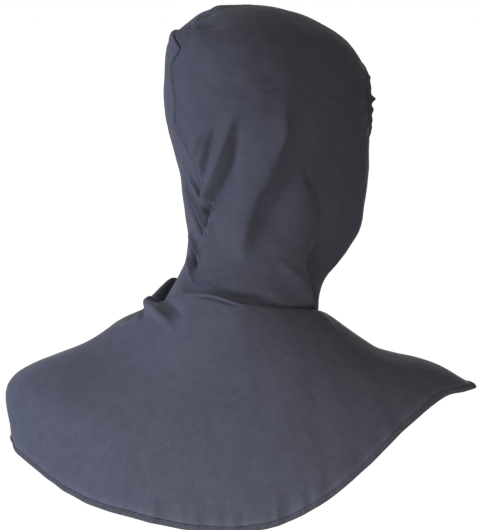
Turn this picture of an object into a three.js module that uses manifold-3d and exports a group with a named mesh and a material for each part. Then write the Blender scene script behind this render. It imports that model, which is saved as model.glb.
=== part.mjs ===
// Welding hood: a two-panel knit hood with a gathered eye opening and a shoulder cape, in the shape that it
// takes in use, with the hood turned to its right on the cape.
// Millimetres, +Z up. The cape's front is at -Y and its left shoulder at +X. The origin lies inside the
// crown, where the hood is held up, and every drop is a depth below the top of the cloth there.

import * as THREE from "three";
import { mergeVertices } from "three/addons/utils/BufferGeometryUtils.js";
import Module from "manifold-3d";

const wasm = await Module();
wasm.setup();

// Driving dimensions
const CLOTH = 1.8; // wall of the doubled knit
const SEW_GAP = 0.4; // clearance between pieces that are sewn together
const HOOD_TURN = 57; // degrees that the eye opening is turned to the right of the cape's front
const EYE_DROP = 92; // drop to the centre of the eye opening
const EYE_HALF_WIDTH = 52;
const EYE_HALF_HEIGHT = 42;
const EYE_CUT_LENGTH = 160; // from the hood's axis to well past its front
const EYE_ARCS = 24; // chords in half of the cut oval
const BAND_GATHERS = 22; // gathers of the casing round the eye opening
const BAND_RUFFLE = 1.3;
const GATHER_STEPS = 3;
const HEM_HEIGHT = 6; // turned hem along the cape's edge
const HEM_THICK = 3.4;
const PLAIN_EDGE = 8; // depth above the hood's lower seam that stays free of folds
const FOLD_RUN_OUT = 16; // depth over which the folds fade above that
const COLLAR_STEPS = 2; // grid rows between the named rings of the cape
const RING_STEPS = 3;
const SECTION_STEPS = 3; // grid rows between two hood sections
const PANEL_COLUMNS = 22; // grid columns across one hood panel
const CAPE_COLUMNS = 58;

// Section of the casing round the eye opening: how far inside the cut each corner lies, how far it stands
// out of the hood, and its share of the ruffle
const BAND_SECTION = table(
  ["inset", "proud", "ruffled"],
  [
    [0.4, 1.8, 0.3],
    [5, 3, 1],
    [9, 1.4, 1.2],
    [9, -1, 1.2],
    [5, -2.4, 0.8],
    [0.4, -2, 0.3],
  ],
);

const COLOURS = { hood: 0x4a4c58, cape: 0x4e515e, trim: 0x454752 };
const CLOTH_ROUGHNESS = 0.92;

const radians = THREE.MathUtils.degToRad;
const lerp = THREE.MathUtils.lerp;
const clamp = THREE.MathUtils.clamp;

// The way the eye opening looks
const FACING = new THREE.Vector3(-Math.sin(radians(HOOD_TURN)), -Math.cos(radians(HOOD_TURN)), 0);

// Named columns over plain rows: one object for each row
function table(columns, rows) {
  return rows.map((row) => Object.fromEntries(columns.map((name, i) => [name, row[i]])));
}

// Hood sections from the crown to the base of the neck. front, back, right and left are reaches from the
// centre in the hood's own directions. face_turn and nape_turn turn the section's front and back to the
// right, slope tips it down towards the cape's front and lean tips it down towards the cape's right.
const HOOD_SECTIONS = table(
  [
    "drop", "centre_x", "centre_y", "front", "back", "right", "left",
    "face_turn", "nape_turn", "slope", "lean",
  ],
  [
    [0, 0, 0, 0, 0, 0, 0, 57, 57, 0, 0],
    [4, -1, -1, 37, 38, 34, 34, 57, 57, 0, 0],
    [16, -5, -3, 69, 63, 56, 56, 57, 57, 0, 0],
    [36, -11, -7, 94, 91, 72, 72, 57, 57, 0, 0],
    [64, -15, -10, 109, 98, 80, 80, 57, 57, 0, 0],
    [96, -17, -11, 112, 101, 82, 82, 57, 57, 0, 0],
    [128, -17, -11, 111, 94, 80, 80, 57, 56, 0, 0],
    [160, -15, -8, 115, 83, 77, 72, 57, 52, 0, 0],
    [192, -11, -3, 117, 76, 73, 64, 57, 45, 0, 0],
    [220, -6, 3, 119, 68, 69, 57, 56, 37, 0.02, 0],
    [244, 0, 9, 107, 66, 71, 55, 49, 28, 0.06, 0.02],
    [264, 4, 14, 88, 69, 75, 61, 34, 19, 0.1, 0.04],
    [282, 7, 18, 78, 74, 77, 68, 16, 9, 0.14, 0.06],
    [296, 8, 20, 79, 77, 78, 74, 0, 0, 0.16, 0.08],
  ],
);
const LAST_SECTION = HOOD_SECTIONS.length - 1;

// Rings of the cape at bearings round the neck: 0 at the front, 90 at the right shoulder, 180 at the back.
// stand and rise shape the rolled collar, and each ring has a reach from the neck's axis and a drop.
const CAPE_BEARINGS = table(
  [
    "bearing", "stand", "rise", "shoulder_reach", "shoulder_drop",
    "drape_reach", "drape_drop", "hem_reach", "hem_drop",
  ],
  [
    [0, 9, 8, 98, 352, 130, 425, 148, 486],
    [25, 8, 4, 104, 345, 140, 408, 160, 460],
    [45, 8, 4, 112, 338, 155, 386, 177, 422],
    [62, 9, 4, 122, 333, 170, 362, 197, 390],
    [77, 11, 5, 131, 329, 181, 345, 214, 368],
    [89, 12, 6, 136, 327, 187, 342, 226, 364],
    [101, 11, 5, 134, 329, 173, 349, 196, 367],
    [115, 9, 4, 126, 332, 157, 364, 172, 390],
    [128, 8, 3, 116, 334, 143, 383, 154, 421],
    [143, 7, 3, 107, 336, 128, 401, 138, 451],
    [161, 7, 4, 98, 336, 117, 408, 125, 472],
    [180, 7, 4, 95, 336, 114, 411, 121, 479],
    [200, 8, 5, 98, 336, 120, 411, 128, 477],
    [220, 9, 6, 106, 334, 137, 405, 146, 468],
    [238, 12, 7, 117, 331, 164, 391, 170, 456],
    [255, 14, 9, 130, 324, 200, 371, 198, 434],
    [270, 15, 11, 141, 321, 221, 362, 219, 415],
    [287, 20, 22, 137, 323, 210, 367, 211, 418],
    [303, 21, 32, 125, 331, 179, 385, 190, 436],
    [320, 15, 28, 112, 341, 153, 402, 169, 460],
    [340, 11, 17, 102, 349, 136, 419, 152, 479],
  ],
);

// Folds of the hood: a line from one place to another, each place a bearing from the front and a drop, with
// the half width across the fold and its height. A valley has a negative height.
const FOLDS = table(
  ["from_bearing", "from_drop", "to_bearing", "to_drop", "half_width", "height"],
  [
    [155, 127, 173, 160, 7, 4],
    [141, 114, 170, 175, 8, 5],
    [135, 116, 173, 186, 8, -5],
    [107, 92, 110, 124, 15, 5],
    [110, 124, 136, 172, 15, 6],
    [136, 172, 160, 240, 16, 5],
    [101, 98, 104, 130, 14, -3],
    [104, 130, 132, 196, 14, -4],
    [132, 196, 152, 243, 13, -4],
    [110, 176, 98, 243, 16, 4],
    [98, 243, 104, 280, 14, 4],
    [89, 189, 87, 276, 11, -5],
    [197, 166, 182, 216, 8, 6],
    [212, 219, 198, 252, 8, 5],
    [199, 182, 203, 216, 8, -5],
    [194, 268, 160, 275, 9, -5],
    [160, 275, 121, 281, 9, -5],
  ],
);

// Rounded swellings and dents of the hood: a place, its two half sizes and its height
const SWELLINGS = table(
  ["bearing", "drop", "half_width", "half_height", "height"],
  [
    [0, 140, 26, 36, 4],
    [180, 28, 14, 7, 4],
    [180, 19, 14, 7, -3],
    [180, 7, 12, 6, -3],
  ],
);

// Cubic through four rows at f between the middle two, column by column
function cubicRow(a, b, c, d, f) {
  const made = {};
  for (const name of Object.keys(b)) {
    const slopeIn = (c[name] - a[name]) / 2;
    const slopeOut = (d[name] - b[name]) / 2;
    const rise = c[name] - b[name];
    const bend = slopeIn + slopeOut - 2 * rise;
    made[name] = b[name] + f * (slopeIn + f * (3 * rise - 2 * slopeIn - slopeOut + f * bend));
  }
  return made;
}

// The row past the crown is the first one seen from the far side, so that the dome is flat on top
function sectionRow(i) {
  const rows = HOOD_SECTIONS;
  if (i > LAST_SECTION) {
    const [last, before] = [rows[LAST_SECTION], rows[LAST_SECTION - 1]];
    return Object.fromEntries(Object.keys(last).map((name) => [name, 2 * last[name] - before[name]]));
  }
  if (i >= 0) return rows[i];
  const { front, back, right, left } = rows[1];
  return { ...rows[1], front: -front, back: -back, right: -right, left: -left };
}

function hoodSection(t) {
  const i = clamp(Math.floor(t), 0, LAST_SECTION - 1);
  return cubicRow(sectionRow(i - 1), sectionRow(i), sectionRow(i + 1), sectionRow(i + 2), t - i);
}

// Smooth hood before its folds, at section t and at a bearing from its front, positive to its right
function bareHood(t, bearing) {
  const row = hoodSection(t);
  const angle = radians(bearing);
  const [c, s] = [Math.cos(angle), Math.sin(angle)];
  const ahead = c * (c > 0 ? row.front : row.back);
  const aside = s * (s > 0 ? row.right : row.left);
  const turn = radians(lerp(row.nape_turn, row.face_turn, (1 + c) / 2));
  const dx = -ahead * Math.sin(turn) - aside * Math.cos(turn);
  const dy = -ahead * Math.cos(turn) + aside * Math.sin(turn);
  const z = CLOTH - row.drop + row.slope * dy + row.lean * dx;
  return new THREE.Vector3(row.centre_x + dx, row.centre_y + dy, z);
}

// Outward direction of a surface function of two numbers, by small steps on it
function outward(surface, t, bearing) {
  const step = 0.02;
  const down = surface(t + step, bearing).sub(surface(Math.max(t - step, 1e-3), bearing));
  const round = surface(t, bearing + 1).sub(surface(t, bearing - 1));
  return round.cross(down).normalize();
}

const bell = (x) => Math.exp(-x * x);
const wrap = (degrees) => THREE.MathUtils.euclideanModulo(degrees + 180, 360) - 180;

// Height of the folds and swellings at a place on the hood; a bearing counts as a length on the mean girth.
// The folds run out just above the seam at the base of the neck.
function foldHeight(t, bearing) {
  const row = hoodSection(t);
  const above = HOOD_SECTIONS[LAST_SECTION].drop - row.drop;
  const girth = (row.front + row.back + row.right + row.left) / 4;
  let height = 0;
  for (const fold of FOLDS) {
    const across = radians(wrap(fold.to_bearing - fold.from_bearing)) * girth;
    const down = fold.to_drop - fold.from_drop;
    const x = radians(wrap(bearing - fold.from_bearing)) * girth;
    const y = row.drop - fold.from_drop;
    const length = Math.hypot(across, down);
    const along = (x * across + y * down) / length;
    const beside = (x * down - y * across) / length;
    const past = Math.max(-along, along - length, 0);
    height += fold.height * bell(beside / fold.half_width) * bell(past / (1.5 * fold.half_width));
  }
  for (const swelling of SWELLINGS) {
    const x = radians(wrap(bearing - swelling.bearing)) * girth;
    const y = row.drop - swelling.drop;
    height += swelling.height * bell(Math.hypot(x / swelling.half_width, y / swelling.half_height));
  }
  return height * THREE.MathUtils.smoothstep(above, PLAIN_EDGE, PLAIN_EDGE + FOLD_RUN_OUT);
}

// Finished hood surface
function hood(t, bearing) {
  return bareHood(t, bearing).addScaledVector(outward(bareHood, t, bearing), foldHeight(t, bearing));
}

// Row of CAPE_BEARINGS at any bearing, on a closed curve through the rows
function capeRow(bearing) {
  const rows = CAPE_BEARINGS;
  const count = rows.length;
  const at = THREE.MathUtils.euclideanModulo(bearing, 360);
  const i = rows.findLastIndex((row) => row.bearing <= at);
  const pick = (k) => rows[THREE.MathUtils.euclideanModulo(k, count)];
  const start = pick(i).bearing;
  const span = THREE.MathUtils.euclideanModulo(pick(i + 1).bearing - start, 360);
  return cubicRow(pick(i - 1), pick(i), pick(i + 1), pick(i + 2), (at - start) / span);
}

function meanTurn(t) {
  const row = hoodSection(t);
  return (row.face_turn + row.nape_turn) / 2;
}

// Named points of the cape's outline at one bearing, from the seam on the neck to the hem
function capeRings(bearing) {
  const row = capeRow(bearing);
  const base = HOOD_SECTIONS[LAST_SECTION];
  const angle = radians(bearing);
  const ray = new THREE.Vector3(-Math.sin(angle), -Math.cos(angle), 0);
  const seam = hood(LAST_SECTION, bearing).addScaledVector(ray, SEW_GAP);
  const axis = new THREE.Vector3(base.centre_x, base.centre_y, 0);
  const ring = (reach, drop) => axis.clone().addScaledVector(ray, reach).setZ(CLOTH - drop);
  const beside = sectionAt(base.drop - row.rise);
  const neck = hood(beside, bearing - meanTurn(beside)).sub(axis).dot(ray);
  const roll = ring(neck + SEW_GAP + CLOTH + row.stand / 2, 0).setZ(seam.z + row.rise);
  const shoulder = ring(row.shoulder_reach, row.shoulder_drop);
  const drape = ring(row.drape_reach, row.drape_drop);
  const hem = ring(row.hem_reach, row.hem_drop);
  return [seam, roll, shoulder, drape, hem];
}

const CAPE_RING_STEPS = [COLLAR_STEPS, RING_STEPS, RING_STEPS, RING_STEPS];

// Cape surface: ring t of capeRings, at a bearing round the neck
function cape(t, bearing) {
  const rings = capeRings(bearing);
  const run = new THREE.CatmullRomCurve3(rings, false, "centripetal");
  return run.getPoint(t / (rings.length - 1));
}

// Closed wall between two equal grids of points, given as rows. A closed grid joins its last column to its
// first, and a first row that is a single point is a pole.
function wall(outer, inner, closed) {
  const points = [];
  const faces = [];
  const index = (grid) => grid.map((row) => row.map((point) => points.push(point) - 1));
  const [out, inn] = [index(outer), index(inner)];
  const quad = (a, b, c, d) => {
    if (a !== b) faces.push(a, b, c);
    if (c !== d) faces.push(a, c, d);
  };
  const rows = out.length;
  const columns = out[rows - 1].length;
  const cell = (grid, i, j) => grid[i][grid[i].length === 1 ? 0 : j % columns];
  const spans = closed ? columns : columns - 1;
  for (let i = 0; i + 1 < rows; i++) {
    for (let j = 0; j < spans; j++) {
      quad(cell(out, i, j), cell(out, i, j + 1), cell(out, i + 1, j + 1), cell(out, i + 1, j));
      quad(cell(inn, i, j), cell(inn, i + 1, j), cell(inn, i + 1, j + 1), cell(inn, i, j + 1));
    }
    if (closed) continue;
    for (const [j, flip] of [[0, false], [columns - 1, true]]) {
      const edge = [cell(out, i + 1, j), cell(inn, i + 1, j), cell(inn, i, j)];
      quad(cell(out, i, j), ...(flip ? edge.reverse() : edge));
    }
  }
  for (let j = 0; j < spans; j++) {
    const last = rows - 1;
    quad(cell(out, last, j), cell(out, last, j + 1), cell(inn, last, j + 1), cell(inn, last, j));
    if (out[0].length > 1) quad(cell(out, 0, j + 1), cell(out, 0, j), cell(inn, 0, j), cell(inn, 0, j + 1));
  }
  return geometryFrom(points, faces);
}

function geometryFrom(points, faces) {
  const made = new THREE.BufferGeometry().setFromPoints(points);
  made.setIndex(faces);
  made.computeVertexNormals();
  return made;
}

// One hood panel: the right or the left half, from the seam down the front to the seam down the back
function hoodPanel(side) {
  const outer = [];
  const inner = [];
  const seamAside = (t, bearing) => hood(t, bearing + side).sub(hood(t, bearing - side)).normalize();
  for (let i = 0; i <= LAST_SECTION * SECTION_STEPS; i++) {
    const t = i / SECTION_STEPS;
    const out = [];
    const inn = [];
    for (let j = 0; j <= PANEL_COLUMNS; j++) {
      const bearing = (side * 180 * j) / PANEL_COLUMNS;
      const point = hood(Math.max(t, 1e-3), bearing);
      const normal = i ? outward(hood, t, bearing) : new THREE.Vector3(0, 0, 1);
      const edge = j === 0 ? 1 : j === PANEL_COLUMNS ? -1 : 0;
      const shift = i ? seamAside(t, bearing).multiplyScalar((edge * SEW_GAP) / 2) : crownShift(side);
      point.add(shift);
      out.push(point);
      inn.push(point.clone().addScaledVector(normal, -CLOTH));
      if (!i) break;
    }
    outer.push(side > 0 ? out : out.reverse());
    inner.push(side > 0 ? inn : inn.reverse());
  }
  return wall(outer, inner, false);
}

// Half the sewing gap at the crown, across the seam towards one side
function crownShift(side) {
  const turn = radians(HOOD_TURN);
  return new THREE.Vector3(-Math.cos(turn), Math.sin(turn), 0).multiplyScalar((side * SEW_GAP) / 2);
}

function solid(geometry) {
  const bare = new THREE.BufferGeometry().setAttribute("position", geometry.getAttribute("position"));
  if (geometry.index) bare.setIndex(geometry.index);
  const merged = mergeVertices(bare, 1e-4);
  const vertProperties = merged.getAttribute("position").array;
  return new wasm.Manifold(new wasm.Mesh({ numProp: 3, vertProperties, triVerts: merged.index.array }));
}

function geometryOf(manifold) {
  const mesh = manifold.getMesh();
  const made = new THREE.BufferGeometry();
  made.setAttribute("position", new THREE.BufferAttribute(mesh.vertProperties, 3));
  made.setIndex(new THREE.BufferAttribute(mesh.triVerts, 1));
  made.computeVertexNormals();
  return made;
}

// Oval prism through the front of the hood, along the way the opening looks
function eyePrism() {
  const oval = new THREE.Shape();
  oval.absellipse(0, 0, EYE_HALF_WIDTH, EYE_HALF_HEIGHT, 0, 2 * Math.PI);
  const run = { depth: EYE_CUT_LENGTH, bevelEnabled: false, curveSegments: EYE_ARCS };
  const prism = new THREE.ExtrudeGeometry(oval, run);
  prism.rotateX(Math.PI / 2);
  prism.rotateZ(-radians(HOOD_TURN));
  const level = hoodSection(sectionAt(EYE_DROP));
  return solid(prism.translate(level.centre_x, level.centre_y, CLOTH - EYE_DROP));
}

// Section t at a drop, by halving
function sectionAt(drop) {
  let [low, high] = [0, LAST_SECTION];
  for (let k = 0; k < 40; k++) {
    const middle = (low + high) / 2;
    if (hoodSection(middle).drop < drop) low = middle;
    else high = middle;
  }
  return low;
}

// Place on the hood behind a point of the eye opening, given aside and above its centre
function eyePoint(aside, above) {
  const t = sectionAt(EYE_DROP - above);
  const row = hoodSection(t);
  const reach = aside > 0 ? row.right : row.left;
  return hood(t, THREE.MathUtils.radToDeg(Math.asin(clamp(aside / reach, -1, 1))));
}

// Gathered casing of the eye opening: a flattened tube along the cut edge that stands clear inside the cut
function eyeBand() {
  const steps = GATHER_STEPS * BAND_GATHERS;
  const loop = Array.from({ length: steps }, (_, i) => {
    const angle = (2 * Math.PI * i) / steps;
    const ruffle = BAND_RUFFLE * Math.cos(BAND_GATHERS * angle);
    return BAND_SECTION.map(({ inset, proud, ruffled }) => {
      const aside = (EYE_HALF_WIDTH - inset) * Math.sin(angle);
      const above = (EYE_HALF_HEIGHT - inset) * Math.cos(angle);
      return eyePoint(aside, above).addScaledVector(FACING, proud + ruffle * ruffled);
    });
  });
  return tubeRound(loop);
}

// Closed tube through equal rings of points, given in order round a loop
function tubeRound(loop) {
  const sides = loop[0].length;
  const faces = [];
  const at = (i, k) => (i % loop.length) * sides + (k % sides);
  for (let i = 0; i < loop.length; i++) {
    for (let k = 0; k < sides; k++) {
      faces.push(at(i, k), at(i + 1, k), at(i + 1, k + 1));
      faces.push(at(i, k), at(i + 1, k + 1), at(i, k + 1));
    }
  }
  return geometryFrom(loop.flat(), faces);
}

function capeBearing(j) {
  return (360 * j) / CAPE_COLUMNS;
}

// Shoulder cape: one wall from the seam on the neck, over a rolled collar, to the hem
function shoulderCape() {
  const outer = [];
  const inner = [];
  const columns = Array.from({ length: CAPE_COLUMNS }, (_, j) => capeBearing(j));
  const within = (t, bearing) => cape(t, bearing).addScaledVector(outward(cape, t, bearing), -CLOTH);
  CAPE_RING_STEPS.forEach((steps, ring) => {
    const final = ring === CAPE_RING_STEPS.length - 1;
    for (let k = 0; k < steps + (final ? 1 : 0); k++) {
      const t = ring + k / steps;
      outer.push(columns.map((bearing) => cape(t, bearing)));
      inner.push(columns.map((bearing) => within(t, bearing)));
    }
  });
  return wall(outer, inner, true);
}

// Turned hem under the cape's edge
function capeHem() {
  const last = CAPE_RING_STEPS.length;
  const sides = 6;
  const loop = Array.from({ length: CAPE_COLUMNS }, (_, j) => {
    const bearing = capeBearing(j);
    const edge = cape(last, bearing);
    const normal = outward(cape, last - 0.01, bearing);
    const down = edge.clone().sub(cape(last - 0.1, bearing)).normalize();
    const centre = edge.addScaledVector(normal, -CLOTH / 2).addScaledVector(down, SEW_GAP + HEM_HEIGHT / 2);
    return Array.from({ length: sides }, (_, k) => {
      const turn = (2 * Math.PI * (k + 0.5)) / sides;
      const tall = (HEM_HEIGHT / 2) * clamp(2 * Math.sin(turn), -1, 1);
      const thick = (HEM_THICK / 2) * Math.cos(turn);
      return centre.clone().addScaledVector(down, tall).addScaledVector(normal, thick);
    });
  });
  return tubeRound(loop);
}

function mesh(name, geometry, color) {
  const material = new THREE.MeshStandardMaterial({ color, roughness: CLOTH_ROUGHNESS, metalness: 0 });
  const made = new THREE.Mesh(geometry, material);
  made.name = name;
  return made;
}

const opening = eyePrism();
const weldingHood = new THREE.Group();
for (const [name, side] of [["hood_right", 1], ["hood_left", -1]]) {
  const panel = geometryOf(solid(hoodPanel(side)).subtract(opening));
  weldingHood.add(mesh(name, panel, COLOURS.hood));
}
weldingHood.add(mesh("eye_band", eyeBand(), COLOURS.trim));
weldingHood.add(mesh("cape", shoulderCape(), COLOURS.cape));
weldingHood.add(mesh("cape_hem", capeHem(), COLOURS.trim));

export default weldingHood;
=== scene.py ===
import math

import bpy
import numpy as np
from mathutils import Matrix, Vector


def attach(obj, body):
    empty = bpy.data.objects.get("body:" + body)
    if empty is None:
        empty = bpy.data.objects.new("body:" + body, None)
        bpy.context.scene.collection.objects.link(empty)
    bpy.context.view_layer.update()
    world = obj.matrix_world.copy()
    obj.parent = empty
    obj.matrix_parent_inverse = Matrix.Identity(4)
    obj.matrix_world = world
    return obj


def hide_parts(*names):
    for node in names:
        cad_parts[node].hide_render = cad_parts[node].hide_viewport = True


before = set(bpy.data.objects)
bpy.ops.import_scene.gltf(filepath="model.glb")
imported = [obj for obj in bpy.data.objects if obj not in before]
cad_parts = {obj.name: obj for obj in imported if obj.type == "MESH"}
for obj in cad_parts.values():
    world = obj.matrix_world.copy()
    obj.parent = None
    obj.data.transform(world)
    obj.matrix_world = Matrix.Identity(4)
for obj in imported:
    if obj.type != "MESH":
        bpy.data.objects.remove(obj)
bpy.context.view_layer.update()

# Welding hood: two knit panels with a gathered eye opening, and a shoulder cape with a turned hem.
# Sizes are millimetres, +Z up, as in the part's source; MM turns them into metres.
# A drop is a depth below the top of the cloth at the crown.
# A bearing is in degrees: 0 at the front, 90 at the right, 180 at the back.
# A level is the number of a hood section, counted from the crown, with fractions between sections.

MM = 0.001
FULL_TURN = 360.0
UP = (0, 0, 1)
CLOTH = 1.8  # wall of the solids, which sets the outer face
KNIT_WALL = 1.4  # wall of the cloth that shows
SEW_GAP = 0.4
SEWN_IN = 4.0  # how far the cape's inner edge reaches in under the hood
SEWN_UNDER = 3.5  # how far it lies below the hood's lower edge
HOOD_TURN = 57.0  # how far the hood's front is turned to the right of the cape's
EYE_DROP = 92.0
EYE_HALF_WIDTH = 52.0
EYE_HALF_HEIGHT = 42.0

# Grids and small steps
SECTION_STEPS = 18  # rows between two hood sections
PANEL_COLUMNS = 196
SEAM_CROWDING = 0.62  # how far the columns crowd towards the seams
CAPE_COLUMNS = 440
CAPE_STEPS = (14, 34, 26, 26)  # rows between the rings of the cape
LAST_RING = len(CAPE_STEPS)
PATH_STEPS = 6  # straight runs between two stations of a fold
FINE_STEPS = 2600  # steps of the list that turns drops into levels
LEAST_LEVEL = 1e-3  # the crown's point itself has no outward direction
FIRST_ROW = 0.01  # level of a panel's first row
LEAST_GAP = 1e-4  # this and TINY keep divisions clear of zero
TINY = 1e-12


def table(columns, rows):
    """Columns of numbers by name, from rows of them."""
    return dict(zip(columns, np.array(rows, float).T))


# Hood sections from the crown to the base of the neck: reaches from a centre, and turns of the section's
# front and back to the right. slope and lean tilt the section up towards the back and the left.
HOOD_MEASURES = (
    "drop", "centre_x", "centre_y", "front", "back", "right", "left",
    "face_turn", "nape_turn", "slope", "lean",
)
HOOD_SECTIONS = np.array([
    (0, 0, 0, 0, 0, 0, 0, 57, 57, 0, 0),
    (4, -1, -1, 37, 38, 34, 34, 57, 57, 0, 0),
    (16, -5, -3, 69, 63, 56, 56, 57, 57, 0, 0),
    (36, -11, -7, 94, 91, 72, 72, 57, 57, 0, 0),
    (64, -15, -10, 109, 98, 80, 80, 57, 57, 0, 0),
    (96, -17, -11, 112, 101, 82, 82, 57, 57, 0, 0),
    (128, -17, -11, 111, 94, 80, 80, 57, 56, 0, 0),
    (160, -15, -8, 115, 83, 77, 72, 57, 52, 0, 0),
    (192, -11, -3, 117, 76, 73, 64, 57, 45, 0, 0),
    (220, -6, 3, 119, 68, 69, 57, 56, 37, 0.02, 0),
    (244, 0, 9, 107, 66, 71, 55, 49, 28, 0.06, 0.02),
    (264, 4, 14, 88, 69, 75, 61, 34, 19, 0.1, 0.04),
    (282, 7, 18, 78, 74, 77, 68, 16, 9, 0.14, 0.06),
    (296, 8, 20, 79, 77, 78, 74, 0, 0, 0.16, 0.08),
], float)
REACHES = slice(HOOD_MEASURES.index("front"), HOOD_MEASURES.index("left") + 1)
LAST_SECTION = len(HOOD_SECTIONS) - 1
NECK = dict(zip(HOOD_MEASURES, HOOD_SECTIONS[-1]))
NECK_AXIS = np.array([NECK["centre_x"], NECK["centre_y"], 0.0])

# Rings of the cape at bearings round the neck: stand and rise place the collar's roll out from the hood and
# above its lower edge, and each further ring has a reach from the neck's axis and a drop.
CAPE_MEASURES = (
    "bearing", "stand", "rise", "shoulder_reach", "shoulder_drop",
    "drape_reach", "drape_drop", "hem_reach", "hem_drop",
)
CAPE_SECTIONS = np.array([
    (0, 9, 8, 98, 352, 130, 425, 148, 486),
    (25, 8, 6, 104, 345, 140, 408, 160, 460),
    (45, 6, 5, 112, 338, 155, 386, 177, 422),
    (62, 5, 6, 122, 333, 170, 362, 197, 390),
    (77, 1, 7, 131, 330, 181, 346, 214, 368),
    (89, -2, 8.5, 136, 329, 187, 344, 226, 364),
    (101, -2.4, 9, 134, 330, 173, 349, 196, 367),
    (115, -2.4, 9, 126, 331, 157, 364, 172, 390),
    (128, -2.4, 8, 116, 334, 143, 383, 154, 421),
    (143, -2, 7, 107, 336, 128, 401, 138, 451),
    (161, 1.5, 7, 98, 336, 117, 408, 125, 472),
    (180, 6, 8.5, 95, 336, 114, 411, 121, 479),
    (200, 8, 13.5, 98, 336, 120, 411, 128, 477),
    (220, 10, 12.5, 106, 335, 137, 405, 146, 468),
    (238, 12, 8, 117, 332, 164, 391, 170, 456),
    (255, 18, 3, 130, 325, 200, 371, 198, 434),
    (270, 23, 5, 141, 321, 221, 362, 219, 415),
    (287, 27, 17, 137, 323, 210, 367, 211, 418),
    (303, 26, 33, 125, 331, 179, 385, 190, 436),
    (320, 15, 28, 112, 341, 153, 402, 169, 460),
    (340, 11, 17, 102, 349, 136, 419, 152, 479),
], float)

# The seam down the back of the hood: its bearing and the depth of its groove at each drop
SEAM_PATH = table(("drop", "bearing", "groove"), [
    (0, 180, 1.0), (18, 180, 1.6), (28, 186, 2.4), (40, 174, 2.8), (56, 184, 2.8), (75, 181, 2.4),
    (90, 178.5, 2.4), (108, 182, 2.4), (116, 185, 2.4), (122, 181, 2.2), (141, 175, 1.8), (170, 175, 0.6),
    (184, 173.5, 0.6), (197, 175.5, 1.8), (215, 181, 2.0), (233, 192, 0.4), (252, 196, 0), (296, 197, 0),
])
SEAM_HALF_WIDTH = 1.4
SEAM_POWER = 1.4  # power of the groove's profile
FRONT_GROOVE = 2.0
SEAM_RIDGE = 0.4  # height of the turned edges under the cloth beside the seam, as a share of the groove
SEAM_RIDGE_AT = 5.0
SEAM_RIDGE_WIDTH = 3.0
SEAM_WEAR = 3.0

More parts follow.
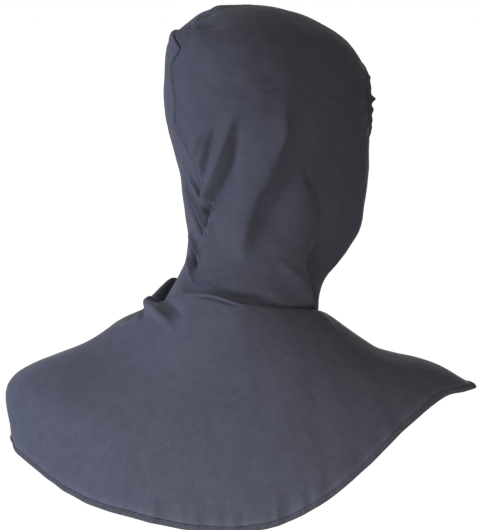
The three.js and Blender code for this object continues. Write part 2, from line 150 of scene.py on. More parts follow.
# Folds of the hood: stations (bearing, drop) along the fold, its half width on the side of the larger and
# of the smaller bearing, its height (a valley has a negative one), the power of its profile, and the share
# of its length over which it rises at its start and sinks at its end
FOLDS = [
    # fan from the nape up towards the crown, ridges and valleys in turn
    dict(at=((152, 104), (158.5, 117), (167.5, 132), (174, 141)),
         wide=(4, 4), height=2.8, power=2, fade=(0.5, 0.2)),
    dict(at=((147, 108), (150, 119), (158.5, 135.5), (166, 149.5), (174, 161)),
         wide=(3.2, 3.6), height=-6, power=2, fade=(0.5, 0.15)),
    dict(at=((131, 92), (137.5, 108), (145.5, 130), (157.5, 154), (168, 171), (177, 184)),
         wide=(5, 4.5), height=5.5, power=2, fade=(0.5, 0.06)),
    dict(at=((131, 102), (135.5, 120), (140, 138), (147.5, 155), (158, 171), (169, 184.5), (179, 194)),
         wide=(3.6, 6.5), height=-7.5, power=2, fade=(0.5, 0.03)),
    dict(at=((150, 184), (164, 194), (176, 201)), wide=(4, 4), height=2, power=2, fade=(0.5, 0.2)),
    # long fold down the side to the nape, sharp at its upper end, with a hollow before it
    dict(at=((104.5, 76), (106, 103), (107, 121), (112, 137), (121, 160), (130, 177), (139, 199), (154, 228),
             (160.5, 247)), wide=(26, 9), height=7, power=2, fade=(0.3, 0.25)),
    dict(at=((105, 82), (106, 103), (107, 121), (112, 137), (118, 152)),
         wide=(9, 2.8), height=4, power=1.6, fade=(0.35, 0.45)),
    dict(at=((97, 94), (99, 122), (106, 148), (122, 180), (134, 205), (149, 235)),
         wide=(8, 18), height=-4.6, power=2, fade=(0.3, 0.3)),
    # fold down the side to the base of the neck, the hollow before it, and a fold beside the neck
    dict(at=((104, 134), (97.5, 160), (90, 187), (87, 220), (95, 246), (105, 276), (112, 310), (116, 340)),
         wide=(26, 5), height=6, power=2, fade=(0.28, 0.5)),
    dict(at=((88, 160), (80, 187), (77, 220), (82, 248)),
         wide=(5, 14), height=-4, power=2, fade=(0.35, 0.25)),
    dict(at=((134, 236), (118.5, 249), (109, 263), (106, 276), (105, 310)),
         wide=(9, 7), height=2.4, power=2, fade=(0.4, 0.5)),
    # pleats pressed into the bend of the nape, ridges steep on the side of the valley next to them
    dict(at=((187, 160.5), (180, 171.5), (175.5, 182.5)),
         wide=(7, 1.1), height=3.2, power=1.7, fade=(0.25, 0.2)),
    dict(at=((182.5, 160.5), (177, 171.5), (173.5, 182.5)),
         wide=(0.9, 1.1), height=-1.8, power=1.7, fade=(0.25, 0.1)),
    dict(at=((197.5, 168.7), (190, 181), (184, 196), (181, 208), (179, 214)),
         wide=(1.8, 5), height=5, power=1.6, fade=(0.15, 0.2)),
    dict(at=((201, 171), (196, 181), (191.5, 196), (189, 208), (186, 220)),
         wide=(4, 2.4), height=-9, power=2, fade=(0.15, 0.3)),
    dict(at=((209, 215.5), (202.5, 228.4), (196.5, 245)),
         wide=(1.6, 4), height=4.8, power=1.6, fade=(0.2, 0.3)),
    dict(at=((213, 219), (208.5, 230), (204, 245), (201.5, 257)),
         wide=(4, 2.5), height=-6.5, power=2, fade=(0.2, 0.4)),
    dict(at=((218, 238), (209.5, 254.6), (206.5, 270)),
         wide=(2, 4), height=4.4, power=1.5, fade=(0.25, 0.35)),
    dict(at=((169, 200), (177, 209), (184, 220), (190, 239)),
         wide=(2.2, 6), height=3, power=1.8, fade=(0.35, 0.4)),
    # hollow above the collar
    dict(at=((222, 275), (205, 273), (186, 275), (169, 279), (154, 279), (138, 273)),
         wide=(6, 6), height=-4, power=2, fade=(0.15, 0.3)),
    # tuck across the crown
    dict(at=((201, 27), (180, 25.5), (163, 24.5), (142, 24)),
         wide=(9, 3.5), height=4.5, power=2, fade=(0.1, 0.6)),
    dict(at=((178, 20), (161, 18.5), (140, 18)), wide=(3, 3), height=-4, power=2, fade=(0.35, 0.5)),
]
TAPER_START = -0.01  # a share just before the fold's end, so that the end itself isn't quite flat
RUN_PAST = 1.5  # how far a fold runs past its ends, in its mean half widths
PLAIN_EDGE = 0.5  # height of the plain edge above the neck seam
FOLD_RUN_OUT = 5.0  # height over which the folds run out above it

# Rounded swellings of the hood, with negative heights for the dents of the crown
SWELLINGS = table(("bearing", "drop", "half_width", "half_height", "height"), [
    (0, 140, 26, 36, 4),
    (186, 30, 14, 5, 1.5),
    (186, 21, 14, 4.5, -5.5),
    (182, 13, 12, 3.5, 1),
    (182, 8, 12, 3, -4),
    (181, 2.5, 10, 2, 2.5),
])

# Folds of the cape, as those of the hood, with stations (bearing, length down from the collar's roll)
CAPE_FOLDS = [
    # rim of the collar's roll, the crease under it and a small pucker below
    dict(at=((240, 0.3), (220, 0.3), (203, 0.3), (190, 0.3), (174, 0.3)),
         wide=(1.2, 1.2), height=1.3, power=2, fade=(0.2, 0.4)),
    dict(at=((211, 3), (203, 3), (197, 3), (190, 3), (182, 3.2), (174, 3.5)),
         wide=(1.3, 1.3), height=-2.2, power=2, fade=(0.2, 0.35)),
    dict(at=((194, 13), (183, 12.5)), wide=(1.6, 1.6), height=-0.8, power=2, fade=(0.4, 0.4)),
    # tube-shaped fold at the left, the hollow from it round to the front, and the valleys beside the tube
    dict(at=((257, -1), (251, 6), (237, 15), (227, 25), (218, 36)),
         wide=(4.6, 3.6), height=9, power=2.4, fade=(0.05, 0.35)),
    dict(at=((258, 17), (270, 19), (285, 21), (300, 22), (315, 22)),
         wide=(12, 12), height=-11, power=2, fade=(0.25, 0.35)),
    dict(at=((244, 1), (231, 8), (221, 17), (213, 27)),
         wide=(3.2, 3.6), height=-4.5, power=2, fade=(0.15, 0.5)),
    dict(at=((258, 10), (252, 15), (243, 29)), wide=(3, 3), height=-3.2, power=2, fade=(0.2, 0.5)),
]

# Fine waves of the cloth: seeds, wave lengths and heights
HOOD_SEED = 11
HOOD_WAVES = (16, 19, 23, 27, 31, 36, 42, 50, 58, 66)
HOOD_WAVE_HEIGHT = 0.3
HOOD_WAVE_DROP = 12.0  # depth below the crown over which the hood's waves rise
CAPE_SEED = 23
CAPE_WAVES = (24, 29, 35, 41, 48, 57, 66, 78)
CAPE_WAVE_HEIGHT = 0.22
CAPE_WAVE_RISE = 20.0  # length below the collar's roll over which the cape's waves rise
HEM_SEED = 31
HEM_WAVES = (7, 11, 16, 23, 31, 40, 52)  # whole waves round the hem
HEM_WAVE_HEIGHT = 0.8
HEM_WAVE_REACH = 14.0  # how far the hem's waves run up the cape

# Puckers of the hem, with half widths in degrees
HEM_PUCKERS = table(("bearing", "half_width", "height"), [
    (214, 1.6, 2.2), (209, 2.2, -1.2), (204, 1.8, 1.0), (198, 1.8, 1.6), (193, 2.0, -0.9),
    (163, 1.6, 1.8), (158, 2.0, -1.0), (152, 1.6, 1.4), (120, 2.2, 0.8), (245, 2.0, 0.9),
])

# Hem of the cape: a band with a squared-off oval section
HEM_HEIGHT = 6.0
HEM_THICK = 3.4
HEM_SIDES = 12
HEM_TALL_POWER = 0.6  # powers below 1 square the oval off
HEM_THICK_POWER = 0.8
HEM_WEAR = 5.0  # how far the lighter wear runs up the cape
HEM_STEP = 0.1  # short step up the cape, in rings
HEM_TURN = 0.3  # short step round it, in degrees

# Stitches over the hem: each thread's way down the hem, off its middle and along it
STITCH_LINE = table(("below", "off", "along"), [
    (-3.1, 0.9, 0.0), (-1.8, 1.75, 0.3), (0.0, 1.95, 0.8), (1.8, 1.75, 1.3), (3.1, 0.7, 1.6),
])
STITCH_RUN = 2.7
STITCH_RADIUS = 0.3
STITCH_SIDES = 5

# Section of the eye casing: how far it lies inside the opening's edge, how far it stands out, and the share
# of the gathers that it takes
CASING_SECTION = table(("inset", "proud", "ruffled"), [
    (-1.0, 1.2, 0.3), (5, 3, 1), (9, 1.4, 1.2), (9, -1, 1.2), (5, -2.4, 0.8), (-1.0, -2, 0.3),
])
CASING_STEPS = 400
CASING_ROUND = 4  # points between two rows of the section
CASING_WEAR_AT = 9.0
CASING_WEAR = 3.0

# Gathers of the eye casing on the right, with angles from the top and half widths in degrees
SEEN_GATHERS = table(("angle", "half_width", "height"), [
    (34, 5, 0.5), (53, 3.2, 1.3), (70, 5, 0.6), (88, 4.8, 4.8), (105, 4.5, 2.0), (123, 5, 0.8),
])

# Gathers round the rest of the opening, drawn with a seed
GATHER_SEED = 5
GATHER_RUN = 13.0  # degrees from one gather to the next
GATHER_CLEAR = 5.0  # degrees kept clear before the first of those on the right
GATHER_SHIFT = (-3, 3)
GATHER_HALF_WIDTH = (2.6, 4.6)
GATHER_HEIGHT = (0.5, 1.5)

# Gathers in the panels round the opening: their limit, and where they start, are highest and fade out, in
# sizes of the opening
PANEL_HIGHEST = 1.3
PANEL_START = 1.0
PANEL_PEAK = 1.1
PANEL_FADE = 0.26
LEAST_OVAL = 0.3  # points nearer to the opening's middle than this, in its sizes, aren't drawn to its edge

# Flat cuts, for the materials
PANEL_REACH = 80.0  # mean reach of a panel from the hood's axis
CAPE_NECK_CUT = 60.0  # radius of the neck hole in the cape's flat cut


# Curves and surfaces

def smoothstep(value, low, high):
    """0 up to low, rising smoothly to 1 at high."""
    share = np.clip((value - low) / (high - low), 0, 1)
    return share * share * (3 - 2 * share)


def wrap(degrees):
    """Degrees as a turn of at most half round, to either side."""
    return (degrees + FULL_TURN / 2) % FULL_TURN - FULL_TURN / 2


def unit(vectors):
    return vectors / np.maximum(np.linalg.norm(vectors, axis=-1, keepdims=True), TINY)


def cubic(before, start, end, after, share):
    """Catmull-Rom curve from start to end."""
    slope_in = (end - before) / 2
    slope_out = (after - start) / 2
    rise = end - start
    bend = slope_in + slope_out - 2 * rise
    return start + share * (slope_in + share * (3 * rise - 2 * slope_in - slope_out + share * bend))


def smooth_path(stations):
    """Stations joined by a smooth curve, as short straight runs."""
    stations = np.array(stations, float)
    padded = np.vstack([2 * stations[0] - stations[1], stations, 2 * stations[-1] - stations[-2]])
    share = np.linspace(0, 1, PATH_STEPS, endpoint=False)[:, None]
    runs = [cubic(*padded[i:i + 4], share) for i in range(len(stations) - 1)]
    return np.vstack(runs + [stations[-1:]])


def closed_curve(stations, steps):
    """Smooth closed curve through the stations."""
    count = len(stations)
    share = np.linspace(0, 1, steps, endpoint=False)[:, None]
    runs = [cubic(*stations[np.arange(i - 1, i + 3) % count], share) for i in range(count)]
    return np.vstack(runs)


def run_along(points):
    """Length from the first point along a line of points, or down each column of a grid."""
    steps = np.linalg.norm(np.diff(points, axis=0), axis=-1)
    return np.concatenate([np.zeros_like(steps[:1]), np.cumsum(steps, 0)])


def undulation(points, seed, lengths, height):
    """Smooth seeded waviness of cloth: waves of the given lengths in many directions."""
    draw = np.random.default_rng(seed)
    total = np.zeros(points.shape[:-1])
    for length in lengths:
        way = unit(draw.normal(size=3))
        total += np.sin(2 * np.pi / length * (points @ way) + draw.uniform(0, 2 * np.pi))
    return height * total / math.sqrt(len(lengths))


def nearest_run(path, bearing, drop, girth):
    """How far points lie beside a path and past its ends, and the share of its length where that is."""
    best = np.full(bearing.shape, np.inf)
    side, past, share = (np.zeros(bearing.shape) for _ in range(3))
    runs = len(path) - 1
    for k in range(runs):
        start_bearing, start_drop = path[k]
        end_bearing, end_drop = path[k + 1]
        across = np.radians(wrap(bearing - start_bearing)) * girth
        down = drop - start_drop
        run_across = np.radians(end_bearing - start_bearing) * girth
        run_down = end_drop - start_drop
        length = np.hypot(run_across, run_down)
        along = (across * run_across + down * run_down) / length
        beside = (across * run_down - down * run_across) / length
        over = np.maximum(np.maximum(-along, along - length), 0)
        far = np.hypot(beside, over)
        nearer = far < best
        best = np.where(nearer, far, best)
        side = np.where(nearer, beside, side)
        past = np.where(nearer, over, past)
        share = np.where(nearer, (k + np.clip(along / length, 0, 1)) / runs, share)
    return side, past, share


def folded(folds, bearing, drop, girth):
    """Height of the folds at bearings and drops, where a bearing counts as a length round the girth."""
    height = np.zeros(bearing.shape)
    for fold in folds:
        side, past, share = nearest_run(smooth_path(fold["at"]), bearing, drop, girth)
        rise, sink = fold["fade"]
        taper = smoothstep(share, TAPER_START, rise) * smoothstep(1 - share, TAPER_START, sink)
        profile = np.exp(-np.abs(side / np.where(side > 0, *fold["wide"])) ** fold["power"])
        run_out = np.exp(-(past / (RUN_PAST * sum(fold["wide"]) / 2)) ** 2)
        height += fold["height"] * taper * profile * run_out
    return height


# The hood's surface

def padded_sections():
    """The hood's sections with one more at each end, which sets the slopes of the curve there."""
    before = HOOD_SECTIONS[1].copy()
    before[REACHES] *= -1
    after = 2 * HOOD_SECTIONS[-1] - HOOD_SECTIONS[-2]
    return np.vstack([before, HOOD_SECTIONS, after])


PADDED_SECTIONS = padded_sections()


def hood_section(level):
    """The hood's measures at levels, on smooth curves through its sections."""
    level = np.asarray(level, float)
    first = np.clip(np.floor(level).astype(int), 0, LAST_SECTION - 1)
    made = cubic(*(PADDED_SECTIONS[first + k] for k in range(4)), (level - first)[..., None])
    return {name: made[..., k] for k, name in enumerate(HOOD_MEASURES)}


FINE_LEVELS = np.linspace(0, LAST_SECTION, FINE_STEPS + 1)
FINE_DROPS = hood_section(FINE_LEVELS)["drop"]


def level_at(drop):
    return np.interp(drop, FINE_DROPS, FINE_LEVELS)


def mean_reach(section):
    return (section["front"] + section["back"] + section["right"] + section["left"]) / 4


def mean_turn(level):
    section = hood_section(level)
    return (section["face_turn"] + section["nape_turn"]) / 2


def bare_hood(level, bearing):
    """Points of the hood without its folds."""
    section = hood_section(level)
    angle = np.radians(bearing)
    forward = np.cos(angle)
    sideways = np.sin(angle)
    ahead = forward * np.where(forward > 0, section["front"], section["back"])
    aside = sideways * np.where(sideways > 0, section["right"], section["left"])
    twist = section["face_turn"] - section["nape_turn"]
    turn = np.radians(section["nape_turn"] + twist * (1 + forward) / 2)
    dx = -ahead * np.sin(turn) - aside * np.cos(turn)
    dy = -ahead * np.cos(turn) + aside * np.sin(turn)
    z = CLOTH - section["drop"] + section["slope"] * dy + section["lean"] * dx
    return np.stack([section["centre_x"] + dx, section["centre_y"] + dy, z], -1)


def outward(level, bearing, step=0.02, turn=1.0):
    """Direction straight out of the bare hood, from short steps down and round it."""
    down = bare_hood(level + step, bearing) - bare_hood(np.maximum(level - step, LEAST_LEVEL), bearing)
    around = bare_hood(level, bearing + turn) - bare_hood(level, bearing - turn)
    return unit(np.cross(around, down))


def above_neck(drop):
    """0 at the plain edge along the neck seam, rising to 1 a little above it."""
    return smoothstep(NECK["drop"] - drop, PLAIN_EDGE, PLAIN_EDGE + FOLD_RUN_OUT)


def hood_folds(level, bearing):
    """Height of the hood's folds and swellings."""
    section = hood_section(level)
    drop = section["drop"]
    girth = mean_reach(section)
    height = folded(FOLDS, bearing, drop, girth)
    for at_bearing, at_drop, half_width, half_height, high in zip(*SWELLINGS.values()):
        across = np.radians(wrap(bearing - at_bearing)) * girth / half_width
        down = (drop - at_drop) / half_height
        height += high * np.exp(-across * across - down * down)
    return height * above_neck(drop)


def hood(level, bearing):
    """Points of the hood with its folds."""
    level, bearing = np.broadcast_arrays(np.asarray(level, float), np.asarray(bearing, float))
    level = np.maximum(level, LEAST_LEVEL)
    return bare_hood(level, bearing) + outward(level, bearing) * hood_folds(level, bearing)[..., None]


SEAM_LINE = smooth_path(np.stack([SEAM_PATH["drop"], SEAM_PATH["bearing"]], 1))
FACING = np.array([-math.sin(math.radians(HOOD_TURN)), -math.cos(math.radians(HOOD_TURN)), 0.0])
EYE_ASIDE = np.array([-math.cos(math.radians(HOOD_TURN)), math.sin(math.radians(HOOD_TURN)), 0.0])


def eye_centre():
    section = hood_section(level_at(EYE_DROP))
    return np.array([section["centre_x"], section["centre_y"], CLOTH - EYE_DROP])


EYE_CENTRE = eye_centre()


def eye_point(aside, above):
    """Point of the hood's front, to the right of and above the middle of the eye opening."""
    level = level_at(EYE_DROP - above)
    section = hood_section(level)
    reach = np.where(aside > 0, section["right"], section["left"])
    return hood(level, np.degrees(np.arcsin(np.clip(aside / reach, -1, 1))))


# The cape's surface

def cape_section(bearing):
    """The cape's measures at bearings, on smooth closed curves through its sections."""
    at = np.asarray(bearing, float) % FULL_TURN
    count = len(CAPE_SECTIONS)
    starts = CAPE_SECTIONS[:, CAPE_MEASURES.index("bearing")]
    first = np.searchsorted(starts, at, side="right") - 1
    span = (starts[(first + 1) % count] - starts[first]) % FULL_TURN
    share = ((at - starts[first]) / span)[..., None]
    made = cubic(*(CAPE_SECTIONS[(first + k) % count] for k in range(-1, 3)), share)
    return {name: made[..., k] for k, name in enumerate(CAPE_MEASURES)}


def cape_rings(bearing):
    """Points of the cape's rings at bearings: sewn edge, collar's roll, shoulder, drape and hem."""
    section = cape_section(bearing)
    angle = np.radians(bearing)
    ray = np.stack([-np.sin(angle), -np.cos(angle), np.zeros_like(angle)], -1)
    seam = hood(np.full(bearing.shape, float(LAST_SECTION)), bearing) + ray * SEW_GAP
    sewn = seam - ray * SEWN_IN - np.array([0, 0, SEWN_UNDER])

    def ring(reach, z):
        made = NECK_AXIS + ray * reach[..., None]
        made[..., 2] = z
        return made

    beside = level_at(NECK["drop"] - section["rise"])
    neck = ((hood(beside, bearing - mean_turn(beside)) - NECK_AXIS) * ray).sum(-1)
    roll = ring(neck + SEW_GAP + CLOTH + section["stand"] / 2, seam[..., 2] + section["rise"])
    shoulder = ring(section["shoulder_reach"], CLOTH - section["shoulder_drop"])
    drape = ring(section["drape_reach"], CLOTH - section["drape_drop"])
    hem = ring(section["hem_reach"], CLOTH - section["hem_drop"])
    return np.stack([sewn, roll, shoulder, drape, hem], -2)


def root_gap(one, other):
    """Square root of the distance between points, which spaces a centripetal curve."""
    return np.maximum(((one - other) ** 2).sum(-1, keepdims=True) ** 0.25, LEAST_GAP)


def ring_curve(rings, at):
    """Centripetal Catmull-Rom curves through the rings, one a column, at a ring's number."""
    padded = np.concatenate([
        2 * rings[..., :1, :] - rings[..., 1:2, :],
        rings,
        2 * rings[..., -1:, :] - rings[..., -2:-1, :],
    ], -2)
    first = min(math.floor(at), LAST_RING - 1)
    share = at - first
    before, start, end, after = (padded[..., first + k, :] for k in range(4))
    gap_before = root_gap(before, start)
    gap = root_gap(start, end)
    gap_after = root_gap(end, after)
    rate_in = (start - before) / gap_before - (end - before) / (gap_before + gap) + (end - start) / gap
    rate_out = (end - start) / gap - (after - start) / (gap + gap_after) + (after - end) / gap_after
    slope_in = rate_in * gap
    slope_out = rate_out * gap
    square = -3 * start + 3 * end - 2 * slope_in - slope_out
    cube = 2 * start - 2 * end + slope_in + slope_out
    return start + share * (slope_in + share * (square + share * cube))


def hem_wave(bearing):
    """How far the hem stands out at a bearing."""
    draw = np.random.default_rng(HEM_SEED)
    total = np.zeros(bearing.shape)
    for waves in HEM_WAVES:
        total += np.sin(np.radians(waves * bearing) + draw.uniform(0, 2 * np.pi))
    total *= HEM_WAVE_HEIGHT / math.sqrt(len(HEM_WAVES))
    for at, half, height in zip(*HEM_PUCKERS.values()):
        total += height * np.exp(-(wrap(bearing - at) / half) ** 2)
    return total


def hem_frame(bearing):
    """Middle of the hem under the cape's edge, and the directions down, round and out of it."""
    rings = cape_rings(bearing)
    edge = ring_curve(rings, LAST_RING)
    down = unit(edge - ring_curve(rings, LAST_RING - HEM_STEP))
    ahead = ring_curve(cape_rings(bearing + HEM_TURN), LAST_RING)
    back = ring_curve(cape_rings(bearing - HEM_TURN), LAST_RING)
    around = unit(ahead - back)
    normal = unit(np.cross(around, down))
    edge = edge + normal * hem_wave(bearing)[:, None]
    return edge - normal * CLOTH / 2 + down * (HEM_HEIGHT / 2), down, around, normal


# Meshes

def grid_normals(points, closed):
    """Outward directions of a grid of rows and columns."""
    if closed:
        around = np.roll(points, -1, 1) - np.roll(points, 1, 1)
    else:
        around = np.gradient(points, axis=1)
    down = np.gradient(points, axis=0)
    return unit(np.cross(around, down))


def grid_faces(keep, closed):
    """Faces of a grid's kept cells; a closed grid's last column joins its first."""
    columns = keep.shape[1]
    width = columns if closed else columns + 1
    row, column = np.nonzero(keep)
    beside = (column + 1) % width
    above = row * width
    below = (row + 1) * width
    return np.stack([above + column, above + beside, below + beside, below + column], 1)


def rim_edges(faces):
    """Edges that only one face has, in that face's order."""
    edges = np.concatenate([faces[:, [k, (k + 1) % 4]] for k in range(4)])
    ordered = np.sort(edges, 1)
    _, first, uses = np.unique(ordered, axis=0, return_index=True, return_counts=True)
    return edges[first[uses == 1]]


def tube_faces(count, sides):
    """Faces of a closed ring of sections, each with the same number of sides."""
    i, k = np.meshgrid(np.arange(count), np.arange(sides), indexing="ij")
    here = i * sides
    ahead = (i + 1) % count * sides
    turned = (k + 1) % sides
    return np.stack([here + k, ahead + k, ahead + turned, here + turned], -1).reshape(-1, 4)


def mesh_object(name, points, faces, uv, wear):
    """Smooth mesh with its flat cut as UVs and its wear as a point attribute."""
    mesh = bpy.data.meshes.new(name)
    mesh.from_pydata((points * MM).tolist(), [], faces)
    mesh.validate()
    mesh.update()
    mesh.polygons.foreach_set("use_smooth", np.ones(len(mesh.polygons), bool))
    index = np.zeros(len(mesh.loops), np.int32)
    mesh.loops.foreach_get("vertex_index", index)
    layer = mesh.uv_layers.new(name="flat_cut")
    layer.data.foreach_set("uv", (uv[index] * MM).astype(np.float32).ravel())
    attribute = mesh.attributes.new("wear", "FLOAT", "POINT")
    attribute.data.foreach_set("value", wear.astype(np.float32))
    made = bpy.data.objects.new(name, mesh)
    bpy.context.collection.objects.link(made)
    return made


def cloth_wall(name, outer, inner, keep, closed, uv, wear):
    """Closed wall of cloth between two equal grids of points."""
    count = outer.shape[0] * outer.shape[1]
    front = grid_faces(keep, closed)
    rim = rim_edges(front)
    sides = np.stack([rim[:, 1], rim[:, 0], rim[:, 0] + count, rim[:, 1] + count], 1)
    faces = np.vstack([front, front[:, ::-1] + count, sides])
    points = np.vstack([outer.reshape(-1, 3), inner.reshape(-1, 3)])
    used = np.zeros(len(points), bool)
    used[faces.ravel()] = True
    renumber = np.cumsum(used) - 1
    both_uv = np.vstack([uv.reshape(-1, 2)] * 2)[used]
    both_wear = np.concatenate([wear.ravel()] * 2)[used]
    return mesh_object(name, points[used], renumber[faces].tolist(), both_uv, both_wear)


# Hood panels

def eye_gathers():
    """The gathers seen at the right, and uneven seeded ones round the rest of the opening."""
    draw = np.random.default_rng(GATHER_SEED)
    made = list(zip(*SEEN_GATHERS.values()))
    start = SEEN_GATHERS["angle"][-1] + GATHER_RUN
    end = FULL_TURN + SEEN_GATHERS["angle"][0] - GATHER_CLEAR
    for at in np.arange(start, end, GATHER_RUN):
        shift = draw.uniform(*GATHER_SHIFT)
        made.append((at + shift, draw.uniform(*GATHER_HALF_WIDTH), draw.uniform(*GATHER_HEIGHT)))
    return made


def gathered(degrees, highest=math.inf):
    """Height of the gathers at angles round the eye opening, none above the highest."""
    total = np.zeros(degrees.shape)
    for at, half, height in eye_gathers():
        total += min(height, highest) * np.exp(-(wrap(degrees - at) / half) ** 2)
    return total


def panel_grid(side):
    """Levels of a panel's rows, bearings of its points, how far they lie from the nearer seam, and which
    columns are nearer to the front seam."""
    level = np.linspace(0, LAST_SECTION, LAST_SECTION * SECTION_STEPS + 1)
    level[0] = FIRST_ROW
    across = np.linspace(0, 1, PANEL_COLUMNS + 1)
    across = across - SEAM_CROWDING * np.sin(2 * np.pi * across) / (2 * np.pi)
    section = hood_section(level)
    back = np.interp(section["drop"], SEAM_LINE[:, 0], SEAM_LINE[:, 1])[:, None]
    if side > 0:
        bearing = across * back
    else:
        bearing = FULL_TURN - across * (FULL_TURN - back)
    span = np.abs(bearing[:, -1:] - bearing[:, :1])
    beside = np.radians(np.minimum(across, 1 - across) * span) * mean_reach(section)[:, None]
    return level, bearing, beside, across < 0.5


def eye_opening(points, normal):
    """The panel's points, gathered round the eye opening and drawn to its edge, and the cells that stay."""
    from_eye = points - EYE_CENTRE
    aside = from_eye @ EYE_ASIDE
    above = from_eye[..., 2]
    ahead = from_eye @ FACING > 0
    oval = np.hypot(aside / EYE_HALF_WIDTH, above / EYE_HALF_HEIGHT)
    angle = np.degrees(np.arctan2(aside / EYE_HALF_WIDTH, above / EYE_HALF_HEIGHT))
    pulled = smoothstep(oval, PANEL_START, PANEL_PEAK) * np.exp(-((oval - PANEL_PEAK) / PANEL_FADE) ** 2)
    points = points + normal * (gathered(angle, PANEL_HIGHEST) * pulled * ahead)[..., None]
    inside = (oval < 1) & ahead
    keep = ~(inside[:-1, :-1] & inside[1:, :-1] & inside[:-1, 1:] & inside[1:, 1:])
    scale = np.maximum(oval, LEAST_OVAL)
    at_edge = eye_point(aside / scale, above / scale)
    return np.where(inside[..., None], at_edge, points), keep


def hood_panel(name, side):
    """One side of the hood, from front seam to back seam: side is 1 at the right and -1 at the left."""
    level, bearing, beside, near_front = panel_grid(side)
    drop = hood_section(level)["drop"][:, None]
    levels = np.repeat(level[:, None], PANEL_COLUMNS + 1, 1)
    points = hood(levels, bearing)
    normal = outward(np.maximum(levels, 2 * FIRST_ROW), bearing)
    normal[0] = UP
    back_groove = np.interp(drop, SEAM_PATH["drop"], SEAM_PATH["groove"])
    groove = np.where(near_front, FRONT_GROOVE, back_groove)
    relief = -groove * np.exp(-(beside / SEAM_HALF_WIDTH) ** SEAM_POWER)
    relief += SEAM_RIDGE * groove * np.exp(-((beside - SEAM_RIDGE_AT) / SEAM_RIDGE_WIDTH) ** 2)
    clear_of_edges = smoothstep(drop, 0, HOOD_WAVE_DROP) * above_neck(drop)
    relief += undulation(points, HOOD_SEED, HOOD_WAVES, HOOD_WAVE_HEIGHT) * clear_of_edges
    points, keep = eye_opening(points + normal * relief[..., None], normal)
    if side < 0:
        grids = (points, bearing, keep, beside, groove)
        points, bearing, keep, beside, groove = (grid[:, ::-1] for grid in grids)
    facing = grid_normals(points, False)
    facing[0] = UP
    along = run_along(points[:, PANEL_COLUMNS // 2])
    uv = np.stack([np.radians(bearing) * PANEL_REACH, np.repeat(along[:, None], PANEL_COLUMNS + 1, 1)], -1)
    wear = np.exp(-(beside / SEAM_WEAR) ** 2) * np.minimum(groove / FRONT_GROOVE, 1)
    return cloth_wall(name, points, points - facing * KNIT_WALL, keep, False, uv, wear)


# Cape, hem and stitches

def shoulder_cape(name):
    """The cape, from the edge sewn under the hood over the collar's roll and down to the hem."""
    steps = [k + np.arange(count) / count for k, count in enumerate(CAPE_STEPS)]
    at_rings = np.concatenate(steps + [[float(LAST_RING)]])
    bearing = np.arange(CAPE_COLUMNS) * FULL_TURN / CAPE_COLUMNS
    rings = cape_rings(bearing)
    points = np.stack([ring_curve(rings, at) for at in at_rings])
    along = run_along(points)
    reach = np.linalg.norm(points[..., :2] - NECK_AXIS[:2], axis=-1)
    from_roll = along - along[CAPE_STEPS[0]]
    from_hem = along[-1:] - along
    height = folded(CAPE_FOLDS, np.broadcast_to(bearing, along.shape), from_roll, reach)
    waves = undulation(points, CAPE_SEED, CAPE_WAVES, CAPE_WAVE_HEIGHT)
    height += waves * smoothstep(from_roll, 0, CAPE_WAVE_RISE)
    height += hem_wave(bearing) * np.exp(-(from_hem / HEM_WAVE_REACH) ** 2)
    points = points + grid_normals(points, True) * height[..., None]
    inner = points - grid_normals(points, True) * KNIT_WALL
    angle = np.radians(bearing)
    radius = along + CAPE_NECK_CUT
    uv = np.stack([radius * np.sin(angle), radius * np.cos(angle)], -1)
    wear = np.exp(-(from_hem / HEM_WEAR) ** 2)
    keep = np.ones((len(at_rings) - 1, CAPE_COLUMNS), bool)
    return cloth_wall(name, points, inner, keep, True, uv, wear)


def rounded(share, power):
    """A sine or cosine with its sign kept and its size raised to a power."""
    return np.sign(share) * np.abs(share) ** power


def hem_band(name):
    """The turned hem, a closed band along the cape's edge."""
    count = 2 * CAPE_COLUMNS
    bearing = np.arange(count) * FULL_TURN / count
    centre, down, _, normal = hem_frame(bearing)
    turn = 2 * np.pi * (np.arange(HEM_SIDES) + 0.5) / HEM_SIDES
    tall = HEM_HEIGHT / 2 * rounded(np.sin(turn), HEM_TALL_POWER)
    thick = HEM_THICK / 2 * rounded(np.cos(turn), HEM_THICK_POWER)
    points = centre[:, None] + down[:, None] * tall[None, :, None] + normal[:, None] * thick[None, :, None]
    run = run_along(centre)
    uv = np.stack([np.repeat(run[:, None], HEM_SIDES, 1), np.repeat(tall[None, :], count, 0)], -1)
    wear = np.repeat((np.clip(tall / (HEM_HEIGHT / 2), 0, 1) ** 2)[None, :], count, 0)
    faces = tube_faces(count, HEM_SIDES).tolist()
    return mesh_object(name, points.reshape(-1, 3), faces, uv.reshape(-1, 2), wear.ravel())


def stitch_faces(rings):
    """Faces of one stitch: its sides between rings of points, and its two ends."""
    i, k = np.meshgrid(np.arange(rings - 1), np.arange(STITCH_SIDES), indexing="ij")
    here = i * STITCH_SIDES
    ahead = here + STITCH_SIDES
    turned = (k + 1) % STITCH_SIDES
    sides = np.stack([here + k, ahead + k, ahead + turned, here + turned], -1).reshape(-1, 4).tolist()
    last = (rings - 1) * STITCH_SIDES
    ends = [list(range(STITCH_SIDES)), list(range(last + STITCH_SIDES - 1, last - 1, -1))]
    return sides + ends


